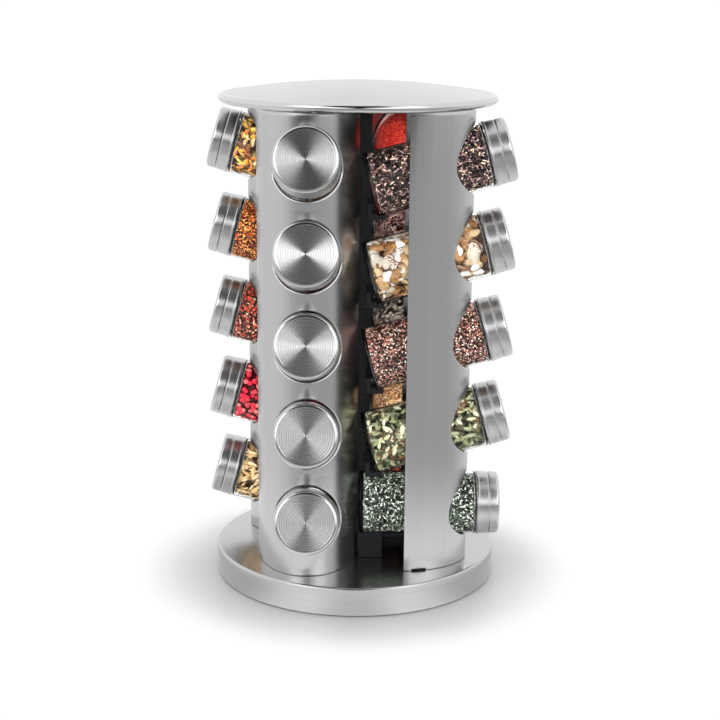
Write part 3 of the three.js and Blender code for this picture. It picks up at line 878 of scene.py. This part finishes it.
def make_spices():
    """One mesh for each kind of spice."""
    # under is each spice's painted shade colour: its dark core and the shaded edges of its grains
    kinds = {
        "flowers": dict(
            colors=[(0.90, 0.36, 0.03), (0.90, 0.54, 0.10), (0.70, 0.18, 0.02), (0.92, 0.72, 0.34),
                    (0.24, 0.18, 0.03), (0.60, 0.16, 0.10), (0.84, 0.40, 0.05), (0.12, 0.05, 0.02)],
            shapes=[flake, flake, lump, flake], count=1100, size=(5.5, 2.3, 0.9), bury=2.2, speckle=500,
            spread=0.2, under=(0.015, 0.008, 0.005)),
        "orange_mix": dict(
            colors=[(0.80, 0.25, 0.03), (0.60, 0.085, 0.015), (0.92, 0.44, 0.10), (0.38, 0.045, 0.012),
                    (0.84, 0.33, 0.045)],
            shapes=[seed, diamond, diamond, diamond], count=7000, size=(1.9, 0.9, 0.6), bury=1.0, spread=0.12,
            under=(0.04, 0.008, 0.003)),
        "chilli": dict(
            colors=[(0.54, 0.04, 0.015), (0.76, 0.15, 0.05), (0.90, 0.70, 0.44), (0.24, 0.018, 0.010),
                    (0.66, 0.09, 0.035), (0.40, 0.02, 0.012)],
            shapes=[seed, diamond, diamond], count=6500, size=(1.9, 0.9, 0.5), bury=1.0, tumble=0.3,
            spread=0.1, under=(0.012, 0.004, 0.003)),
        "red_berries": dict(
            colors=[(0.52, 0.010, 0.030), (0.62, 0.03, 0.05), (0.36, 0.008, 0.018), (0.70, 0.14, 0.14)],
            shapes=[lambda: ball(2)], count=900, size=(3.0, 2.9, 2.8), bury=2.0, roughness=0.22, spread=0.1,
            under=(0.03, 0.0, 0.002)),
        "tan_pods": dict(
            colors=[(0.46, 0.28, 0.11), (0.62, 0.42, 0.20), (0.30, 0.16, 0.055), (0.74, 0.58, 0.34)],
            shapes=[pod], count=850, size=(5.6, 2.0, 1.5), bury=2.0, under=(0.02, 0.010, 0.004)),
        "cloves": dict(
            colors=[(0.06, 0.035, 0.03), (0.34, 0.19, 0.16), (0.02, 0.014, 0.014), (0.90, 0.66, 0.50),
                    (0.05, 0.03, 0.03), (0.20, 0.09, 0.085), (0.02, 0.014, 0.014), (0.72, 0.56, 0.40),
                    (0.12, 0.06, 0.055), (0.50, 0.32, 0.32)],
            shapes=[clove, dot, seed, dot], count=4600, size=(3.1, 1.0, 0.8), bury=1.4, tumble=0.2,
            roughness=0.38, spread=0.06, under=(0.003, 0.002, 0.002)),
        "ginger": dict(
            colors=[(0.44, 0.40, 0.32), (0.26, 0.13, 0.045), (0.76, 0.74, 0.70), (0.17, 0.07, 0.015),
                    (0.40, 0.30, 0.17), (0.30, 0.16, 0.06)],
            shapes=[lump, lump, lump, flake], count=640, size=(6.8, 4.8, 2.2), bury=2.2, tumble=0.15,
            speckle=900, spread=0.12, under=(0.030, 0.010, 0.003)),
        "brown_seeds": dict(
            colors=[(0.40, 0.12, 0.08), (0.90, 0.66, 0.54), (0.12, 0.035, 0.02), (0.60, 0.27, 0.19),
                    (0.96, 0.86, 0.80), (0.18, 0.055, 0.04), (0.52, 0.20, 0.14)],
            shapes=[diamond], count=8500, size=(1.6, 0.9, 0.55), bury=0.8, spread=0.06,
            under=(0.008, 0.004, 0.003)),
        "fennel": dict(
            colors=[(0.20, 0.23, 0.10), (0.46, 0.46, 0.27), (0.08, 0.08, 0.03), (0.62, 0.60, 0.42),
                    (0.12, 0.05, 0.015), (0.25, 0.28, 0.16), (0.05, 0.05, 0.02)],
            shapes=[pod], count=1500, size=(4.2, 1.9, 1.0), bury=1.5, tumble=0.12, speckle=700,
            spread=0.12, under=(0.006, 0.005, 0.002)),
        "herb": dict(
            colors=[(0.86, 0.92, 0.82), (0.24, 0.35, 0.22), (0.93, 0.95, 0.90), (0.05, 0.08, 0.05),
                    (0.03, 0.05, 0.03), (0.80, 0.86, 0.76), (0.14, 0.22, 0.12)],
            shapes=[diamond], count=7500, size=(2.3, 0.72, 0.5), bury=0.8, spread=0.04,
            under=(0.003, 0.004, 0.003)),
        "star_anise": dict(
            colors=[(0.62, 0.28, 0.22), (0.84, 0.50, 0.42), (0.20, 0.07, 0.05), (0.90, 0.66, 0.58)],
            shapes=[star], count=560, size=(5.6, 5.6, 3.4), bury=2.4, tumble=0.15, roughness=0.38,
            under=(0.008, 0.003, 0.002)),
        "peppercorns": dict(
            colors=[(0.22, 0.175, 0.14), (0.34, 0.27, 0.21), (0.13, 0.10, 0.08), (0.44, 0.36, 0.29)],
            shapes=[peppercorn], count=1100, size=(2.6, 2.5, 2.4), bury=1.8, speckle=900, spread=0.15,
            under=(0.008, 0.006, 0.005)),
        "orange_seeds": dict(
            colors=[(0.96, 0.52, 0.18), (1.0, 0.72, 0.36), (0.82, 0.36, 0.11), (1.0, 0.88, 0.62),
                    (0.66, 0.46, 0.25)],
            shapes=[diamond], count=7500, size=(1.6, 0.95, 0.55), bury=0.8, spread=0.1,
            under=(0.22, 0.08, 0.03)),
    }
    made = {}
    for i, (name, facts) in enumerate(kinds.items()):
        made[name] = spice("spice_" + name, seed_value=i + 1, **facts)
    made["paprika"] = powder("spice_paprika", [(0.40, 0.002, 0.001), (1.0, 0.013, 0.006), (1.0, 0.12, 0.06)])
    return made


CONTENTS = {
    "front": ["peppercorns", "star_anise", "cloves", "brown_seeds", "peppercorns"],
    "right": ["cloves", "ginger", "brown_seeds", "fennel", "herb"],
    "back": ["paprika", "star_anise", "peppercorns", "orange_seeds", "chilli"],
    "left": ["flowers", "orange_mix", "chilli", "red_berries", "tan_pods"],
}


def make_jars():
    """Twenty jars with their contents, shaker inserts, lids and liners. Copies share a mesh."""
    glass, insert, shell, liner = glass_body(), sifter(), lid_shell(), lid_liner()
    spices = make_spices()
    used = set()

    def placed(source, kind, side, row, part):
        name = f"{kind}_{side}_{row + 1}"
        if source.name in used:
            made = new_object(name, source.data)
        else:
            made = source
            made.name = name
        used.add(made.name)
        made.matrix_world = jar_place(side, row)
        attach(made, f"{side}_{part}_{row + 1}_body")
        return made

    for side in SIDES:
        for row in range(ROWS):
            jar = placed(glass, "jar_glass", side, row, "jar")
            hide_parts(f"{side}_jar_{row + 1}")
            placed(insert, "sifter", side, row, "jar")
            placed(spices[CONTENTS[side][row]], "spice", side, row, "jar")
            lid = placed(shell, "lid_shell", side, row, "lid")
            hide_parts(f"{side}_lid_{row + 1}")
            placed(liner, "lid_liner", side, row, "lid")


make_jars()


# ---------- top, base and inside
def cover():
    """The domed top with its rolled rim, and the boss that takes the rod's nut."""
    rim_centre = (COVER_R - COVER_RIM_R, COVER_RIM_Z)
    edge_r = rim_centre[0] - 0.9
    edge_z = COVER_RIM_Z + COVER_RIM_R
    rise = COVER_APEX_Z - edge_z
    dome = [(edge_r * t, COVER_APEX_Z - rise * t * t) for t in np.linspace(0, 1, 20)]
    under = [(r, z - COVER_SHEET) for r, z in dome if BOSS_R < r < edge_r - 4][::-1]
    rolled = arc(rim_centre, COVER_RIM_R, 90, -130, 18)
    hem = [(rim_centre[0] - 2.6, COVER_RIM_Z - 1), (rim_centre[0] - 2.6, edge_z - 1.8)]
    boss = [
        (BOSS_R, COVER_APEX_Z - COVER_SHEET - 0.1),
        (BOSS_R, 347.6),
        (ROD_HOLE_R, 347.6),
        (ROD_HOLE_R, 353.3),
        (0, 353.3),
    ]
    made = turned("cover_dome", dome + rolled + hem + under + boss, [COVER_STEEL, RIM_STEEL], LARGE_ROUND, 40)
    for polygon in made.data.polygons:
        polygon.material_index = 1 if math.hypot(*polygon.center[:2]) > edge_r * MM else 0
    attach(made, "tower")
    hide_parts("top_cover")


def base():
    """The base's cover: a shallow steel drum, open below, with its lower edge turned in."""
    profile = rounded([
        (ROD_HOLE_R, BASE_TOP_Z),
        (BASE_R, BASE_TOP_Z, 1.8),
        (BASE_R, 1.0, 0.5),
        (BASE_R - 1.3, 1.0, 0.3),
        (BASE_R - 1.3, 2.2, 0.2),
        (BASE_R - COVER_SHEET, 2.6),
        (BASE_R - COVER_SHEET, BASE_TOP_Z - COVER_SHEET, 1.2),
        (ROD_HOLE_R, BASE_TOP_Z - COVER_SHEET),
        (ROD_HOLE_R, BASE_TOP_Z),
    ], 6)
    made = turned("base_drum", profile, [BASE_STEEL], LARGE_ROUND, 40)
    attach(made, "tower")
    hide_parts("base_cover")


cover()
base()

CAD_FINISH = {
    "frame_quarter": BLACK,
    "top_plate": BLACK,
    "turntable": GREY,
    "ball_cage": ZINC,
    "tie_rod": ZINC,
    "foot": RUBBER,
}
for name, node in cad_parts.items():
    for part, material in CAD_FINISH.items():
        if part in name:
            node.data.materials.clear()
            node.data.materials.append(material)


# ---------- floor, light and camera
def degrees(*angles):
    return tuple(math.radians(a) for a in angles)


# Distances are in metres, and directions are angles from the front, which is -Y. Two numbers are the
# ends of a soft step.
FLOOR_SIZE = 14
FLOOR_PALE = 0.93  # the floor's own brightness
SHADOW = 0.36  # how much the painted soft shadow takes from the floor's colour at the base's edge
SHADOW_REACH = 0.027  # and how fast it dies away
FLOOR_FADE = (0.122, 0.172)  # where the floor fades to plain white
FLOOR_NEAR = (0.16, 0.42)  # in reflections the floor is pale near the carousel
FLOOR_FRONT_AIM = math.radians(18)  # and greyer round this direction
FLOOR_FRONT = degrees(45, 100)
FLOOR_TONES = {"near": 1.0, "front": 0.50, "sides": 0.86}
FOOT_REACH = (0.145, 0.165)  # nearer than this, the base's side sees a bright patch each side of the front
FOOT_PATCH = degrees(4, 22)
FOOT_ENDS = degrees(24, 60)
FOOT_TONES = {"front": 0.80, "patch": 1.10, "sides": 0.60}
CARD_FOOT = (2.8, 3.3)  # where a dark card stands on the floor
CARD_AIM = math.radians(-16)  # the middle of it
CARD_ENDS = degrees(26, 42)
WHITE = 1.02  # what the camera sees behind the carousel
SKY = 1.0  # brightness of the studio's walls and ceiling in reflections
FILL = 1.05  # brightness of the sky as a lamp
FILL_IN_GLASS = 0.62  # and as seen through glass
DARK_TONE = 0.02  # the dark card behind the camera, with a paler band low down
BAND_TONE = 0.62
BAND_STARTS = degrees(3, 8)
BAND_ENDS = degrees(9, 17)
DARK_ENDS = degrees(28, 44)  # where the card ends, each side of the front
DARK_TOP = degrees(68, 84)
BOX_TONE = 2.1  # the two wedge-shaped softboxes in front of it, which point at the middle
BOX_HEIGHT = math.radians(19.2)
BOX_SLOPE = (0.50, 0.62)  # a box's edge, as rise over run
BOX_STARTS = degrees(2, 5)
BOX_ENDS = degrees(46, 66)
BOX_BOTTOM = degrees(5, 14)
LAMP_AIM = (0, 0, 0.2)


def off_front(tree, x, y, aim=0.0):
    """The angle between a direction on the ground and the front, turned by aim."""
    angle = calc(tree, "ARCTAN2", x, calc(tree, "MULTIPLY", y, -1.0))
    return calc(tree, "ABSOLUTE", calc(tree, "SUBTRACT", angle, aim))


def floor_tone(tree, x, y, away):
    """How bright reflections see the floor: pale grey, darker in front, with a dark card far off."""
    aside = off_front(tree, x, y, FLOOR_FRONT_AIM)
    tone = smooth(tree, aside, FLOOR_FRONT, FLOOR_TONES["front"], FLOOR_TONES["sides"])
    tone = choose(tree, smooth(tree, away, FLOOR_NEAR), FLOOR_TONES["near"], tone)
    ahead = off_front(tree, x, y)
    foot = smooth(tree, ahead, FOOT_PATCH, FOOT_TONES["front"], FOOT_TONES["patch"])
    foot = choose(tree, smooth(tree, ahead, FOOT_ENDS), foot, FOOT_TONES["sides"])
    tone = choose(tree, smooth(tree, away, FOOT_REACH), foot, tone)
    off_card = off_front(tree, x, y, CARD_AIM)
    card = calc(tree, "MULTIPLY", smooth(tree, away, CARD_FOOT), smooth(tree, off_card, CARD_ENDS, 1, 0))
    return choose(tree, card, tone, DARK_TONE)


def floor():
    """Pale, with a soft shadow painted into its colour round the base, and fading to plain white."""
    bpy.ops.mesh.primitive_plane_add(size=FLOOR_SIZE)
    made = bpy.context.object
    made.name = "floor"
    pale = Nodes("floor_pale", (FLOOR_PALE, FLOOR_PALE, FLOOR_PALE), 0.32)
    tree = pale.tree
    place = pale.coordinates()
    x, y, _ = pale.parts(place)
    path = pale.add("ShaderNodeLightPath")
    pale.feed(pale.span(pale.noise(place, 3, 2), 0.30, 0.36), "Roughness")
    distance = pale.add("ShaderNodeVectorMath", operation="LENGTH")
    pale.link(place, distance.inputs[0])
    away = distance.outputs["Value"]
    # painted shadow: the floor's colour darkens near the base's edge
    fall = calc(tree, "DIVIDE", calc(tree, "SUBTRACT", BASE_R * MM, away), SHADOW_REACH)
    lit = calc(tree, "SUBTRACT", 1.0, calc(tree, "MULTIPLY", calc(tree, "EXPONENT", fall), SHADOW))
    pale.feed(calc(tree, "MULTIPLY", lit, FLOOR_PALE), "Base Color")
    tone = choose(tree, path.outputs["Is Camera Ray"], floor_tone(tree, x, y, away), WHITE)
    glow = pale.add("ShaderNodeEmission")
    pale.link(tone, glow.inputs["Strength"])
    plain = calc(tree, "MULTIPLY", smooth(tree, away, FLOOR_FADE), path.outputs["Is Camera Ray"])
    plain = calc(tree, "MAXIMUM", plain, path.outputs["Is Glossy Ray"])
    pale.give_way(plain, glow.outputs["Emission"])
    made.data.materials.append(pale.material)
    return made


def studio():
    """White walls all round, and in front a dark card with a bright softbox on each side."""
    world = bpy.data.worlds.new("studio")
    bpy.context.scene.world = world
    world.use_nodes = True
    tree = world.node_tree
    where = tree.nodes.new("ShaderNodeTexCoord")
    parts = tree.nodes.new("ShaderNodeSeparateXYZ")
    tree.links.new(where.outputs["Generated"], parts.inputs[0])
    x, y, z = parts.outputs
    aside = off_front(tree, x, y)
    height = calc(tree, "ARCSINE", z)
    rise = calc(tree, "ABSOLUTE", calc(tree, "SUBTRACT", height, BOX_HEIGHT))
    slope = calc(tree, "DIVIDE", rise, calc(tree, "MAXIMUM", aside, 0.01))
    box = calc(tree, "MULTIPLY", smooth(tree, slope, BOX_SLOPE, 1, 0), smooth(tree, aside, BOX_STARTS))
    box = calc(tree, "MULTIPLY", box, smooth(tree, aside, BOX_ENDS, 1, 0))
    box = calc(tree, "MULTIPLY", box, smooth(tree, height, BOX_BOTTOM))
    dark = calc(tree, "MULTIPLY", smooth(tree, aside, DARK_ENDS, 1, 0), smooth(tree, height, DARK_TOP, 1, 0))
    band = calc(tree, "MULTIPLY", smooth(tree, height, BAND_STARTS), smooth(tree, height, BAND_ENDS, 1, 0))
    sky = choose(tree, dark, SKY, choose(tree, band, DARK_TONE, BAND_TONE))
    sky = choose(tree, box, sky, BOX_TONE)
    path = tree.nodes.new("ShaderNodeLightPath")
    sky = choose(tree, path.outputs["Is Transmission Ray"], sky, FILL_IN_GLASS)
    sky = choose(tree, path.outputs["Is Diffuse Ray"], sky, FILL)
    sky = choose(tree, path.outputs["Is Camera Ray"], sky, WHITE)
    background = tree.nodes["Background"]
    background.inputs["Color"].default_value = (1, 1, 1, 1)
    tree.links.new(sky, background.inputs["Strength"])


def all_but(skipped):
    """A collection that keeps the lamps off one object."""
    group = bpy.data.collections.new("lamps_skip")
    group.objects.link(skipped)
    group.collection_objects[0].light_linking.link_state = "EXCLUDE"
    return group


def softbox(name, place, size, power, receivers):
    """A soft lamp that isn't seen in reflections. The receivers say what it lights."""
    lamp = bpy.data.lights.new(name, "AREA")
    lamp.shape = "RECTANGLE"
    lamp.size, lamp.size_y = size
    lamp.energy = power
    made = new_object(name, lamp)
    made.location = place
    made.rotation_euler = (Vector(LAMP_AIM) - Vector(place)).to_track_quat("-Z", "Y").to_euler()
    made.visible_camera = False
    made.visible_glossy = False
    made.light_linking.receiver_collection = receivers


def camera():
    """Level with the upper rows and a little left of the axis, tipped down and rolled very slightly."""
    yaw, pitch, roll = math.radians(-0.61), math.radians(14.006), math.radians(0.472)
    lens = bpy.data.cameras.new("camera")
    lens.lens = 79.14
    made = new_object("camera", lens)
    level = Matrix.Translation(Vector((-9.34, -1121.4, 437.8)) * MM) @ Matrix.Rotation(yaw, 4, "Z")
    tipped = level @ Matrix.Rotation(math.pi / 2 - pitch, 4, "X")
    made.matrix_world = tipped @ Matrix.Rotation(roll, 4, "Z")
    bpy.context.scene.camera = made


ground = floor()
studio()
pieces = all_but(ground)
softbox("left_key", (-1.4, -1.0, 0.42), (0.5, 0.6), 5, pieces)
softbox("right_key", (1.5, -0.9, 0.42), (0.5, 0.6), 4, pieces)
softbox("front_key", (-0.012, -1.4, 0.49), (0.12, 0.12), 21, pieces)
softbox("back_key", (0.3, 1.7, 0.5), (0.5, 0.5), 6, pieces)
camera()
bpy.context.scene.view_settings.view_transform = "Standard"
